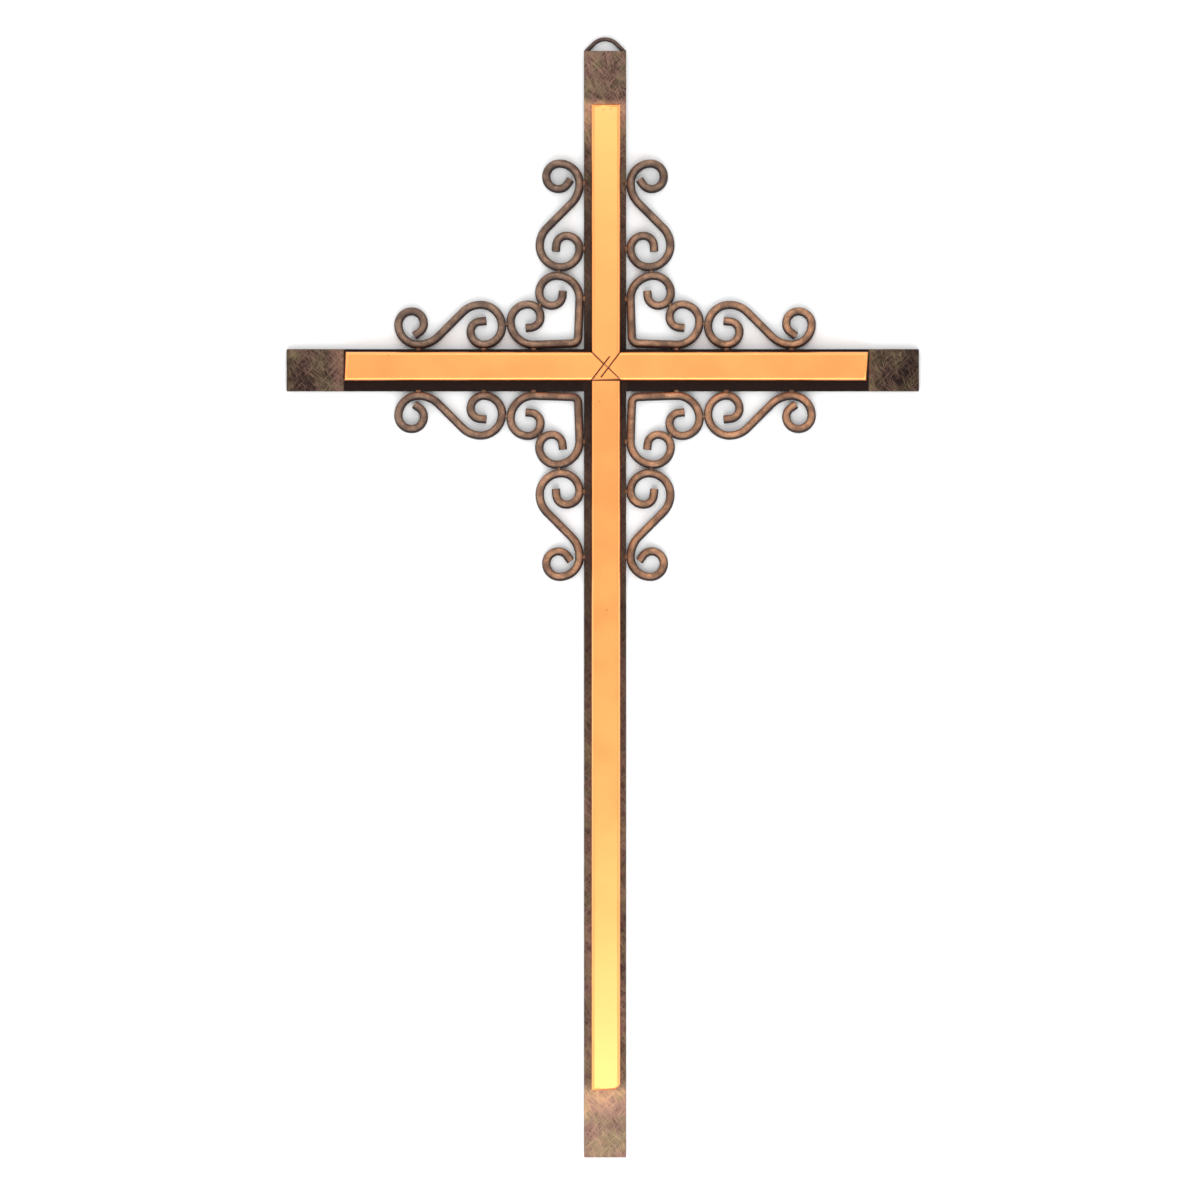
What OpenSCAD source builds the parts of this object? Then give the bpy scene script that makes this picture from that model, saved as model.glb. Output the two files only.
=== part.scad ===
// Wall cross: two flat iron bars, a copper strip laid over each arm, and
// bent round-rod scrolls welded into the four corners.
//
// Millimetres, +Z up, front towards -Y and wall towards +Y.  The origin is
// where the nail sits, under the crown of the hanging loop.

/* [Flat bars] */
// Length of the upright bar
upright_len = 525; // [420:5:700]
// Length of the crossbar
crossbar_len = 300; // [245:5:420]
// Width of both flat bars
bar_w = 20; // [16:0.5:26]
// Thickness of both flat bars
bar_t = 3; // [2:0.5:6]
// Distance from the top of the upright down to the middle of the crossbar
head_len = 151.5; // [120:0.5:200]
// How far the crossbar's middle lies to the right of the upright
crossbar_shift = -1.1; // [-5:0.1:5]

/* [Copper strips] */
// Width of the copper strips
strip_w = 13.5; // [10:0.5:17]
// How far the strips stand in front of the bars
strip_h = 5; // [3:0.5:8]
// Thickness of the copper sheet they are folded from
sheet_t = 0.8; // [0.5:0.1:1.2]
// Outer radius of the folded edges
fold_r = 1.5; // [1.3:0.1:2.5]
// Bare length of the upright above the strips
top_pad = 25.6; // [10:0.2:40]
// Bare length of the upright below the strips
bottom_pad = 32; // [10:0.5:60]
// Height above its foot at which the lower strip is drawn in two lengths
foot_len = 150; // [100:5:160]
// Bare length of the crossbar at its left end
left_pad = 27.6; // [10:0.2:40]
// Bare length of the crossbar at its right end
right_pad = 24.2; // [10:0.2:40]
// Bare margin of the crossbar above its strips
strip_margin = 1.45; // [1:0.05:2.5]
// How far the upright's strips lie to the right of the middle of their bar
strip_shift = 0.4; // [-2:0.1:2]
// Width of the open seam between two strips
seam_gap = 0.25; // [0.1:0.05:0.5]
// Width of the waist of the upper strip, where the mitred points nearly meet
waist_w = 1.8; // [1:0.1:3]
// How far each mitred point misses the middle line of its strip
point_skew = 0.9; // [0:0.1:1.5]

/* [Scroll rods] */
// Diameter of the round rod
rod_d = 4; // [3:0.1:4.8]
// Gap left for the weld tack where a rod meets a bar or another rod
tack_gap = 0.1; // [0.05:0.05:0.3]

/* [S-scrolls] */
// Radius of the small curl's first bend, from the bar outwards
small_first = 9.5; // [9.2:0.1:12]
// Radius of its second bend, turning back towards the crossing
small_second = 6.3; // [6:0.1:8]
// Radius of its third bend, turning back towards the bar
small_third = 5.8; // [5:0.1:6.2]
// Radius of its last bend, before the tip
small_last = 5; // [4:0.1:5.4]
// Radius where an S-scroll leaves the bar for its slanting run
swan_r = 13.5; // [8:0.5:18]
// Slope of the slanting run, measured from the bar
swan_angle = 45; // [38:1:55]
// Radius of the large curl's first bend, out of the run
large_first = 12; // [8:0.1:16]
// Radius of its second bend, turning towards the crossing
large_second = 10.2; // [8:0.1:13]
// Radius of its third bend, turning back towards the bar
large_third = 8.7; // [7:0.1:11]
// Radius of the inner turn's first bend, away from the bar again
inner_first = 6.2; // [4:0.1:8]
// Radius of its last bend, before the tip
inner_last = 4.8; // [4:0.1:6.5]

/* [Corner scrolls] */
// Radius of a curl's first bend, from the bar outwards
corner_first = 10.9; // [8:0.1:13]
// Radius of its second bend, turning back towards the crossing
corner_second = 8.2; // [7:0.1:9]
// Radius of its third bend, where the two curls lean on each other
corner_third = 6; // [5:0.1:7.5]
// Radius of its last bend, before the tip
corner_last = 5; // [4:0.1:5.5]
// Bend radius at the corner itself
corner_bend = 3; // [2.5:0.1:6]
// How much each leg of a corner scroll leans towards its bar
leg_lean = 2; // [1:0.5:5]

/* [Hanging loop] */
// Diameter of the loop's wire
wire_d = 2; // [1.5:0.1:3]
// Clear height under the crown of the loop
loop_clear = 4.6; // [4.2:0.1:8]
// Bar edge left bare outside each foot of the loop
foot_margin = 0.2; // [0:0.1:2]

/* [Hidden] */
$fn = 48;
rod_r = rod_d / 2;
rod_line = rod_r + tack_gap;      // a rod's centre line from the edge it lies along
nest = 0.02;                      // how much thinner every other bend of a rod is
nest_length = 0.1;                // and how far it runs into its neighbours
over = 1;                         // how far a cut runs past what it cuts
fold_step = 15;                   // degrees from point to point round a folded edge

// Last turning angle of each rod tip, and its straight length where that is free
small_tip_turn = 55;
inner_tip_turn = 85;
inner_tip_len = 3.2;
corner_tip_turn = 85;
corner_tip_len = 2.6;
// Space left between a small curl's tip and the rod's own first bend
tip_clear = 0.43;

// Depths: everything but the strips lies flush on the wall
back_y = wire_d / 2;
front_y = back_y - bar_t;
rod_y = back_y - rod_r;
lap_y = back_y - bar_t / 2;       // where the two halved bars meet

// Heights and ends
top_z = -loop_clear;
bottom_z = top_z - upright_len;
cross_z = top_z - head_len;
strip_z = cross_z + bar_w / 2 - strip_margin - strip_w / 2;
crossbar_left = crossbar_shift - crossbar_len / 2;
crossbar_right = crossbar_shift + crossbar_len / 2;
half_w = strip_w / 2;
foot_z = bottom_z + bottom_pad;

// Inner ends of the left and right strips' mitred points, from the upright strips' middle
left_point = [-waist_w / 2, strip_z + point_skew];
right_point = [waist_w / 2, strip_z - point_skew];

// Corner scroll, reaching just far enough for its two curls to lean on each other
curl_out = rod_line + corner_first + corner_second;
curl_along = curl_out + ((2 - sqrt(2)) * corner_third + rod_d + tack_gap) / sqrt(2);
corner_touch = curl_along + corner_second - corner_first;
corner_reach = curl_along + corner_second + rod_r;
// The straight leg ends where the corner's bend reaches the diagonal
leg_len = (corner_touch - rod_line
    - corner_first * (1 - cos(leg_lean) + sin(leg_lean))
    - corner_bend * (cos(leg_lean) - sin(leg_lean))) / (cos(leg_lean) + sin(leg_lean));

// Slanting run of an S-scroll: long enough to bring the large curl back to the bar
large_depth = large_second + large_third;
run_len = (large_depth - (swan_r + large_first) * (1 - cos(swan_angle))) / sin(swan_angle);
// From the large curl's far end to the point where the small curl meets the bar
s_height = rod_r + large_second + (large_first + swan_r) * sin(swan_angle)
    + run_len * cos(swan_angle);
s_touch = corner_reach + tack_gap + s_height;

// Small curl's tip: it runs on until its inner corner nears the first bend.
// Its heading, and that corner before it, as seen from the first bend's centre:
tip_heading = [-cos(small_tip_turn), sin(small_tip_turn)];
tip_start = [small_second - small_third - (small_last + rod_r) * sin(small_tip_turn),
             small_first - small_second - small_third + small_last
                 - (small_last + rod_r) * cos(small_tip_turn)];
tip_limit = small_first - rod_r - tip_clear;
tip_along = tip_start * tip_heading;
small_tip_len = sqrt(tip_along * tip_along - tip_start * tip_start + tip_limit * tip_limit)
    - tip_along;

// Loop: an arc whose feet stand on the upright's top edge
foot_x = bar_w / 2 - foot_margin - wire_d / 2;
loop_rise = loop_clear + wire_d / 2;
loop_r = (foot_x * foot_x + loop_rise * loop_rise) / (2 * loop_rise);

// The four corners of the crossing: name, side, up or down
CORNERS = [["upper_left", -1, 1], ["upper_right", 1, 1],
           ["lower_left", -1, -1], ["lower_right", 1, -1]];

iron = [0.30, 0.23, 0.20];
rod_brown = [0.45, 0.34, 0.28];
copper = [0.96, 0.66, 0.38];

// ---- Flat bars ----------------------------------------------------------

// A block given by its lowest and highest corners
module block(low, high) {
    translate(low) cube(high - low);
}

module upright_bar() {
    color(iron) difference() {
        block([-bar_w / 2, front_y, bottom_z], [bar_w / 2, back_y, top_z]);
        crossing_notch(front_y - over, lap_y);
    }
}

module crossbar() {
    color(iron) difference() {
        block([crossbar_left, front_y, cross_z - bar_w / 2],
              [crossbar_right, back_y, cross_z + bar_w / 2]);
        crossing_notch(lap_y, back_y + over);
    }
}

// The halving that lets each bar into the other
module crossing_notch(y_from, y_to) {
    block([-bar_w / 2, y_from, cross_z - bar_w / 2],
          [bar_w / 2, y_to, cross_z + bar_w / 2]);
}

// ---- Copper strips --------------------------------------------------------

// Points of a quarter circle about centre, from one angle to 90 degrees on
function quarter(centre, radius, from) =
    [for (turn = [0 : fold_step : 90]) centre + radius * [cos(from + turn), sin(from + turn)]];

// A flat shape, standing on y = 0, that is rounded at its two far corners
function tray_outline(low, high, height, radius) =
    concat([[low, 0]], [[high, 0]],
           quarter([high - radius, height - radius], radius, 0),
           quarter([low + radius, height - radius], radius, 90));

// A round-edged bar along Z: its section and its side view, crossed.
// "open" lists the ends, -1 or 1, that run on square instead of rounding.
module tray_solid(width, low, high, height, radius, open) {
    overrun = 2 * radius;
    side_low = search(-1, open) == [] ? low : low - overrun;
    side_high = search(1, open) == [] ? high : high + overrun;
    intersection() {
        translate([0, 0, low]) linear_extrude(high - low)
            polygon(mirrored(tray_outline(-width / 2, width / 2, height, radius)));
        translate([-width, 0, 0]) rotate([0, 90, 0]) linear_extrude(2 * width)
            polygon([for (p = tray_outline(side_low, side_high, height, radius)) [-p[0], -p[1]]]);
    }
}

// The same points with y turned over, so that the tray stands towards -Y
function mirrored(points) = [for (p = points) [p[0], -p[1]]];

// A tray folded from sheet, open behind, along Z from low to high
module tray(low, high, open) {
    inner_low = search(-1, open) == [] ? low + sheet_t : low - over;
    inner_high = search(1, open) == [] ? high - sheet_t : high + over;
    translate([0, front_y, 0]) difference() {
        tray_solid(strip_w, low, high, strip_h, fold_r, open);
        translate([0, over, 0])
            tray_solid(strip_w - 2 * sheet_t, inner_low, inner_high,
                       strip_h - sheet_t + over, fold_r - sheet_t, open);
    }
}

// Keeps what lies behind or in front of a flat outline in X and Z
module seen_as(outline) {
    intersection() {
        children();
        translate([0, back_y, 0]) rotate([90, 0, 0])
            linear_extrude(bar_t + strip_h + over) polygon(outline);
    }
}

// Runs from the top down through the crossing, with a V cut in from each side
module upper_strip() {
    color(copper) translate([strip_shift, 0, 0]) seen_as([
        [half_w + over, top_z],
        [half_w + over, strip_z + half_w],
        [half_w, strip_z + half_w],
        right_point,
        [half_w, strip_z - half_w],
        [-half_w, strip_z - half_w],
        left_point,
        [-half_w, strip_z + half_w],
        [-half_w - over, strip_z + half_w],
        [-half_w - over, top_z]])
        tray(strip_z - half_w, top_z - top_pad, [-1]);
}

// The lower strip is one folded sheet, drawn in two lengths that meet face to face
module lower_strip() {
    color(copper) translate([strip_shift, 0, 0])
        tray(foot_z + foot_len, strip_z - half_w - seam_gap, [-1, 1]);
}

module lower_strip_foot() {
    color(copper) translate([strip_shift, 0, 0]) tray(foot_z, foot_z + foot_len, [1]);
}

// A strip along X on the given side (-1 left, 1 right), its inner end pointed.
// Its outer end lies that far from the strips' crossing.
module side_strip(side, outer_end, point) {
    color(copper) translate([strip_shift, 0, 0]) seen_as([
        [outer_end + side * over, strip_z + half_w + over],
        [side * (half_w + seam_gap), strip_z + half_w + over],
        [side * (half_w + seam_gap), strip_z + half_w],
        point + [side * seam_gap, 0],
        [side * (half_w + seam_gap), strip_z - half_w],
        [side * (half_w + seam_gap), strip_z - half_w - over],
        [outer_end + side * over, strip_z - half_w - over]])
        translate([0, 0, strip_z]) rotate([0, 90, 0])
            tray(min(0, outer_end), max(0, outer_end), [-side]);
}

module left_strip() {
    side_strip(-1, crossbar_left + left_pad - strip_shift, left_point);
}

module right_strip() {
    side_strip(1, crossbar_right - right_pad - strip_shift, right_point);
}

// ---- Scroll rods ----------------------------------------------------------

// A rod bent in the XY plane.  It starts at the origin heading along +Y, and
// each entry is [radius, turn in degrees, left positive] or [0, straight length].
// Every other bend is a hair thinner and runs on into its neighbours, so that
// each joint closes inside the rod.
module bent_rod(bends, thin, i = 0) {
    if (i < len(bends)) {
        radius = bends[i][0];
        amount = bends[i][1];
        side = sign(amount);
        d = thin ? rod_d - nest : rod_d;
        overlap = thin ? nest_length : 0;
        if (radius == 0) {
            translate([0, -overlap, 0]) rotate([-90, 0, 0]) cylinder(h = amount + 2 * overlap, d = d);
            translate([0, amount, 0]) bent_rod(bends, !thin, i + 1);
        } else {
            more = overlap / radius * 180 / PI;
            translate([-side * radius, 0, 0]) {
                rotate((side > 0 ? 0 : 180 - abs(amount)) - more)
                    rotate_extrude(angle = abs(amount) + 2 * more)
                        translate([radius, 0]) circle(d = d);
                rotate(amount) translate([side * radius, 0, 0]) bent_rod(bends, !thin, i + 1);
            }
        }
    }
}

// Along a bar: x leads away from the bar's edge, y away from the crossing
module s_scroll() {
    translate([rod_line, s_touch, 0]) {
        bent_rod([
            [small_first, -90], [small_second, -90], [small_third, -90],
            [small_last, -small_tip_turn], [0, small_tip_len]], false);
        rotate(180) bent_rod([
            [swan_r, swan_angle], [0, run_len],
            [large_first, -swan_angle], [large_second, -90], [large_third, -90],
            [inner_first, -90], [inner_last, -inner_tip_turn], [0, inner_tip_len]], true);
    }
}

// In the angle between two bars, x and y leading away from their edges.  It
// starts where the first curl meets the bar, and side is -1 for that curl and
// 1 for the curl at the other end.
module corner_scroll() {
    translate([rod_line, corner_touch, 0]) {
        bent_rod(concat([[corner_first, -90]], curl_from_second(-1)), false);
        rotate(180) bent_rod(concat([
            [corner_first, leg_lean], [0, leg_len], [corner_bend, 90 - 2 * leg_lean],
            [0, leg_len], [corner_first, 90 + leg_lean]], curl_from_second(1)), true);
    }
}

// A corner curl's bends after its first
function curl_from_second(side) = [
    [corner_second, side * 90], [corner_third, side * 90],
    [corner_last, side * corner_tip_turn], [0, corner_tip_len]];

// Turns a rod laid out in the XY plane into one of the crossing's corners
module in_corner(side, up) {
    color(rod_brown)
        translate([0, rod_y, cross_z])
            mirror([side < 0 ? 1 : 0, 0, 0]) mirror([0, 0, up < 0 ? 1 : 0])
                rotate([90, 0, 0]) translate([bar_w / 2, bar_w / 2, 0]) children();
}

// ---- Hanging loop -----------------------------------------------------------

module hanging_loop() {
    color(iron) intersection() {
        translate([0, 0, wire_d / 2 - loop_r]) rotate([90, 0, 0])
            rotate_extrude() translate([loop_r, 0]) circle(d = wire_d);
        block([-bar_w, back_y - wire_d, top_z], [bar_w, back_y, wire_d]);
    }
}

// ---- The pieces ---------------------------------------------------------------

upright_bar();
crossbar();
upper_strip();
lower_strip();
lower_strip_foot();
left_strip();
right_strip();
hanging_loop();
for (corner = CORNERS) {
    in_corner(corner[1], corner[2]) corner_scroll();
    in_corner(corner[1], corner[2]) s_scroll();
    in_corner(corner[1], corner[2]) mirror([1, -1, 0]) s_scroll();
}
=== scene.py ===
# %% [markdown]
# # A wall cross of iron bars, copper strips and bent scrolls
# The real cross is flat bar, copper sheet and round rod, welded together,
# lacquered dark and then rubbed back with a wire brush. This lesson builds it
# piece by piece around a fixed frame: the construction model, which already
# says where every piece goes. Each new piece stands for one of its nodes.

# %% Load the frame
import math

import bmesh
import bpy
from mathutils import Matrix, Vector


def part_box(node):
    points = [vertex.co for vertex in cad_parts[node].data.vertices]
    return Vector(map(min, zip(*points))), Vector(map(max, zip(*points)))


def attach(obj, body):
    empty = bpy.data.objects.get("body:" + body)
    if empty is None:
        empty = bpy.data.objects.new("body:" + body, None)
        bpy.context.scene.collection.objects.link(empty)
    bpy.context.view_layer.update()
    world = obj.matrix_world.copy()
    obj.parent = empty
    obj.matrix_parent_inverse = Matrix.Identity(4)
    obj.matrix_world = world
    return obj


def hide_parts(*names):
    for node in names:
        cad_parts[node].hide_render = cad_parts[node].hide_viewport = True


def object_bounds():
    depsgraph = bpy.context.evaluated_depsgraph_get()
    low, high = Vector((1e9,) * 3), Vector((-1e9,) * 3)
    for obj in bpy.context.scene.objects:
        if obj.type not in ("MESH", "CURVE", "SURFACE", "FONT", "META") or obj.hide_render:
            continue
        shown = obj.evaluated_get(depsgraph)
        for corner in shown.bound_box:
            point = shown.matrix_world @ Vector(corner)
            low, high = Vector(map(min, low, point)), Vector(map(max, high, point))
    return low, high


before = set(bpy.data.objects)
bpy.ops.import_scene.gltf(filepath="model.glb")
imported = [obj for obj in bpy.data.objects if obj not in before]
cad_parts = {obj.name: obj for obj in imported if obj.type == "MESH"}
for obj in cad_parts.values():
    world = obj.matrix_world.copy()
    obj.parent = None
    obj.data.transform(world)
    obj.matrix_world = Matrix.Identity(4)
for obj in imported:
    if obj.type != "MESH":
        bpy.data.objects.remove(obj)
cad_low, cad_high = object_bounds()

MM = 0.001
print("nodes in the frame:", len(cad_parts))
print("construction box, mm:", [round(size / MM, 1) for size in cad_high - cad_low])

# %% [markdown]
# ## Places
# Every place comes from the frame. The upright and the crossbar give the bars'
# width and depth, and where they cross. X runs to the right, Z up the upright,
# and the wall lies towards +Y, so the front of the cross faces -Y.

# %% Read the bars' places
upright_low, upright_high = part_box("upright_bar")
crossbar_low, crossbar_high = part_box("crossbar")
front_y = upright_low.y
wall_y = upright_high.y
lap_y = (front_y + wall_y) / 2
half_bar = (upright_high.x - upright_low.x) / 2
cross_z = (crossbar_low.z + crossbar_high.z) / 2
print("bar width, mm:", round(2 * half_bar / MM, 2),
      " crossing height, mm:", round(cross_z / MM, 2))

# %% [markdown]
# Four copper strips lie on the bars. The lower one is two nodes in the
# construction model and a single strip here. The strips leave the four ends of
# the bars bare, and those ends are called the pads from here on.

# %% Read the strips' places
foot_low, foot_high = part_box("lower_strip_foot")
left_x, right_x = foot_low.x, foot_high.x
lower_z, upper_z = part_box("left_strip")[0].z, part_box("left_strip")[1].z
strip_top, strip_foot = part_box("upper_strip")[1].z, foot_low.z
strip_left, strip_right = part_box("left_strip")[0].x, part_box("right_strip")[1].x
lower_strip_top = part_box("lower_strip")[1].z
strip_height = front_y - foot_low.y
strip_x, strip_z = (left_x + right_x) / 2, (lower_z + upper_z) / 2
print("strip width, mm:", round((right_x - left_x) / MM, 2),
      " height, mm:", round(strip_height / MM, 2))

# %% [markdown]
# ## From a mesh to a piece
# A finished shape is turned outwards, smoothed, given its finish and hung on
# the frame. Edges sharper than a fold stay crisp, and weighted normals keep
# wide flat faces flat right up to their rounded edges, where plain smooth
# shading would bend the light across the whole face.

# %% A helper that finishes a piece
CRISP_ANGLE = math.radians(40)


def only(kind, geometry):
    """The items of one kind out of what an operator returns."""
    return [item for item in geometry if isinstance(item, kind)]


def finish_piece(name, shape, finish, nodes=()):
    """Make an object of a bmesh, give it its finish and let it stand for CAD nodes."""
    bmesh.ops.recalc_face_normals(shape, faces=shape.faces)
    for face in shape.faces:
        face.smooth = True
    for edge in shape.edges:
        edge.smooth = edge.calc_face_angle(math.pi) < CRISP_ANGLE
    open_edges = sum(len(edge.link_faces) != 2 for edge in shape.edges)
    mesh = bpy.data.meshes.new(name)
    shape.to_mesh(mesh)
    shape.free()
    mesh.materials.append(finish)
    piece = bpy.data.objects.new(name, mesh)
    bpy.context.scene.collection.objects.link(piece)
    weighted = piece.modifiers.new("flat faces stay flat", "WEIGHTED_NORMAL")
    weighted.keep_sharp = True
    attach(piece, "root")
    if nodes:
        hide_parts(*nodes)
    print(f"{name}: {len(mesh.polygons)} faces, {open_edges} open edges")
    return piece


# %% [markdown]
# ## Building a finish from nodes
# Each finish is a small network of shader nodes. Short helpers keep the
# networks readable: one adds any node and plugs in its inputs, the others add
# a sum, a ramp or a blend. A number that is the same all over goes straight
# on the shader.

# %% Helpers for shader nodes
def plug(tree, value, socket):
    """Link an output to a socket, or set a plain value on it."""
    if isinstance(value, bpy.types.NodeSocket):
        tree.links.new(value, socket)
    else:
        socket.default_value = value


def add_node(tree, kind, settings=None, **inputs):
    """Add a shader node. An input is a plain value or another node's output."""
    made = tree.nodes.new("ShaderNode" + kind)
    for name, value in (settings or {}).items():
        setattr(made, name, value)
    for name, value in inputs.items():
        plug(tree, value, made.inputs[name.replace("_", " ")])
    return made


def calculate(tree, operation, first, second=0.0):
    """Add a Math node and return its result."""
    made = add_node(tree, "Math", {"operation": operation})
    plug(tree, first, made.inputs[0])
    plug(tree, second, made.inputs[1])
    return made.outputs[0]


def ease(tree, value, low, high, to_low=0.0, to_high=1.0):
    """Ramp a value smoothly from one range to another."""
    made = add_node(tree, "MapRange", {"interpolation_type": "SMOOTHSTEP"}, Value=value,
                    From_Min=low, From_Max=high, To_Min=to_low, To_Max=to_high)
    return made.outputs["Result"]


def blend_colours(tree, share, first, second):
    """Mix two colours, either of which may be an output."""
    made = add_node(tree, "Mix", {"data_type": "RGBA"})
    sockets = {socket.identifier: socket for socket in made.inputs}
    plug(tree, share, sockets["Factor_Float"])
    plug(tree, first, sockets["A_Color"])
    plug(tree, second, sockets["B_Color"])
    return next(socket for socket in made.outputs if socket.identifier == "Result_Color")


def start_finish(name):
    """A new material: itself, its tree, its main shader and its place on the piece."""
    finish = bpy.data.materials.new(name)
    finish.use_nodes = True
    tree = finish.node_tree
    tree.nodes.clear()
    shader = add_node(tree, "BsdfPrincipled")
    add_node(tree, "OutputMaterial", Surface=shader.outputs["BSDF"])
    return finish, tree, shader, add_node(tree, "TexCoord")


# %% [markdown]
# ## Wire-brush marks
# The brush leaves short slanting strokes where it has cut through the dark
# lacquer. Noise that is stretched along the stroke gives them: a Mapping node
# set to Texture turns first and then stretches, so each stroke keeps its length
# and width whatever its slant. Strokes at several slants are laid over each other.

# %% Helpers that draw strokes and patches
STROKE_SLANTS = (38, -47, 71)
STROKE_LENGTH = 5.5 * MM
STROKE_WIDTH = 0.55 * MM
STROKE_DETAIL, STROKE_ROUGHNESS, PATCH_ROUGHNESS = 2.0, 0.55, 0.5
FRONT = (0, -1, 0)
# The rods' copper faces this way: the front, tilted up as painted light from above.
FRONT_FROM_ABOVE = (-0.1, -1, 0.45)


def brush_strokes(tree, place):
    """Strength of the brushing at each point, from noise stretched along each slant."""
    strokes = 0.0
    for number, slant in enumerate(STROKE_SLANTS):
        turned = add_node(tree, "Mapping", {"vector_type": "TEXTURE"},
                          Vector=place.outputs["Object"],
                          Location=(number * STROKE_LENGTH, 0, number * STROKE_WIDTH),
                          Rotation=(0, math.radians(slant), 0),
                          Scale=(STROKE_LENGTH, STROKE_LENGTH, STROKE_WIDTH))
        stroke = add_node(tree, "TexNoise", Vector=turned.outputs["Vector"],
                          Scale=1.0, Detail=STROKE_DETAIL, Roughness=STROKE_ROUGHNESS)
        strokes = calculate(tree, "MAXIMUM", stroke.outputs["Fac"], strokes)
    return strokes


def patches(tree, place, size, detail=2.0):
    """Soft blotches of about the given size."""
    made = add_node(tree, "TexNoise", Vector=place.outputs["Object"],
                    Scale=1 / size, Detail=detail, Roughness=PATCH_ROUGHNESS)
    return made.outputs["Fac"]


def facing(tree, place, direction):
    """How squarely the surface faces a direction, from 0 to 1."""
    made = add_node(tree, "VectorMath", {"operation": "DOT_PRODUCT"},
                    Vector=place.outputs["Normal"])
    made.inputs[1].default_value = Vector(direction).normalized()
    return made.outputs["Value"]


# %% [markdown]
# ## Dark lacquer on the flat bars
# The bars are sprayed almost black, then brushed on the front only. The brush
# works freely on the pads, where thinned brown lacquer and bare coppery metal
# show, most of all on the low pad, and less towards the tips of the foot and the
# side pads. The upright's margins beside the strips are lighter near its two ends
# than in the middle. Round the strip's top end a coppery glow is painted: it is the
# reflection of the copper in the lacquer. The crossbar's narrow margins and the
# margins round the crossing are painted nearly black as the shade of the strips,
# which stand proud of the bars. So the finish first works out how hard each place
# has been rubbed and where light and shade are painted.

# %% How hard each place has been rubbed, with the painted light and shade
PAD_RUBS = {"top": 0.02, "foot": 0.23, "left": 0.07, "right": 0.04}
FOOT_FALL_OFF = -0.16
STROKE_DEPTH, EVEN_DEPTH = 0.8, 0.115
OUTER_FALL_OFF, OUTER_REACH = -0.14, 9 * MM
# Painted reflection of the copper round the strip's top end.
TOP_END_REFLECTION, TOP_END_ABOVE, TOP_END_BELOW = 0.25, 4 * MM, 26 * MM
PAD_BLEND = 1.0 * MM
PATCH_SIZE, PATCH_DEPTH = 14 * MM, 0.35
TOP_REACH, FOOT_REACH = 9 * MM, 7 * MM
MARGIN_LOW, MARGIN_HIGH, MARGIN_MIDDLE = 0.85, 1.0, 0.36
LOW_FROM, LOW_TO = -270 * MM, -360 * MM
HIGH_FROM, HIGH_TO = -110 * MM, -20 * MM
# Painted shade: the margins round the crossing stay nearly black.
CROSSING_SHADE_SHARE, CROSSING_SHADE_REACH = 0.2, 50 * MM


def pad_shares(tree, x, z):
    """For each pad, a share that is 1 on it and 0 elsewhere."""
    return {"top": ease(tree, z, strip_top - TOP_REACH, strip_top + PAD_BLEND),
            "foot": ease(tree, z, strip_foot + FOOT_REACH, strip_foot - PAD_BLEND),
            "left": ease(tree, x, strip_left, strip_left - PAD_BLEND),
            "right": ease(tree, x, strip_right, strip_right + PAD_BLEND)}


def rubbing(tree, place, strokes):
    """How deep the brush has cut, with a painted copper reflection added, and the share that
    shows, low where shade is painted.
    """
    axes = add_node(tree, "SeparateXYZ", Vector=place.outputs["Object"])
    uneven = calculate(tree, "MULTIPLY", patches(tree, place, PATCH_SIZE), PATCH_DEPTH)
    cut_in = calculate(tree, "ADD", calculate(tree, "MULTIPLY", strokes, STROKE_DEPTH), EVEN_DEPTH)
    rub_and_painted_reflection = calculate(tree, "ADD", cut_in, uneven)
    low = ease(tree, axes.outputs["Z"], LOW_FROM, LOW_TO, MARGIN_MIDDLE, MARGIN_LOW)
    high = ease(tree, axes.outputs["Z"], HIGH_FROM, HIGH_TO, MARGIN_MIDDLE, MARGIN_HIGH)
    sideways = calculate(tree, "ABSOLUTE", axes.outputs["X"])
    # On the crossbar's margins the share drops to 0: painted shade of the strip above them.
    on_upright = ease(tree, sideways, half_bar + PAD_BLEND, half_bar)
    from_crossing = calculate(tree, "SUBTRACT", axes.outputs["Z"], cross_z)
    off_crossing = calculate(tree, "ABSOLUTE", from_crossing)
    # Painted shade round the crossing.
    clear_of_crossing_shade = ease(tree, off_crossing, half_bar, CROSSING_SHADE_REACH, CROSSING_SHADE_SHARE, 1.0)
    rub_share_with_painted_shade = calculate(tree, "MULTIPLY", calculate(tree, "MAXIMUM", low, high), on_upright)
    rub_share_with_painted_shade = calculate(tree, "MULTIPLY", rub_share_with_painted_shade, clear_of_crossing_shade)
    for pad, share in pad_shares(tree, axes.outputs["X"], axes.outputs["Z"]).items():
        rub_and_painted_reflection = calculate(tree, "ADD", rub_and_painted_reflection, calculate(tree, "MULTIPLY", share, PAD_RUBS[pad]))
        rub_share_with_painted_shade = calculate(tree, "MAXIMUM", rub_share_with_painted_shade, share)
    lowest = ease(tree, axes.outputs["Z"], strip_foot, upright_low.z, 0.0, FOOT_FALL_OFF)
    outer = ease(tree, sideways, -strip_left, -strip_left + OUTER_REACH, 0.0, OUTER_FALL_OFF)
    # Painted reflection of the copper in the lacquer round the strip's top end.
    above = ease(tree, axes.outputs["Z"], strip_top + TOP_END_ABOVE, strip_top, 0.0, TOP_END_REFLECTION)
    below = ease(tree, axes.outputs["Z"], strip_top - TOP_END_BELOW, strip_top, 0.0, TOP_END_REFLECTION)
    for change in (lowest, outer, calculate(tree, "MINIMUM", above, below)):
        rub_and_painted_reflection = calculate(tree, "ADD", rub_and_painted_reflection, change)
    return rub_and_painted_reflection, rub_share_with_painted_shade


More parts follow.
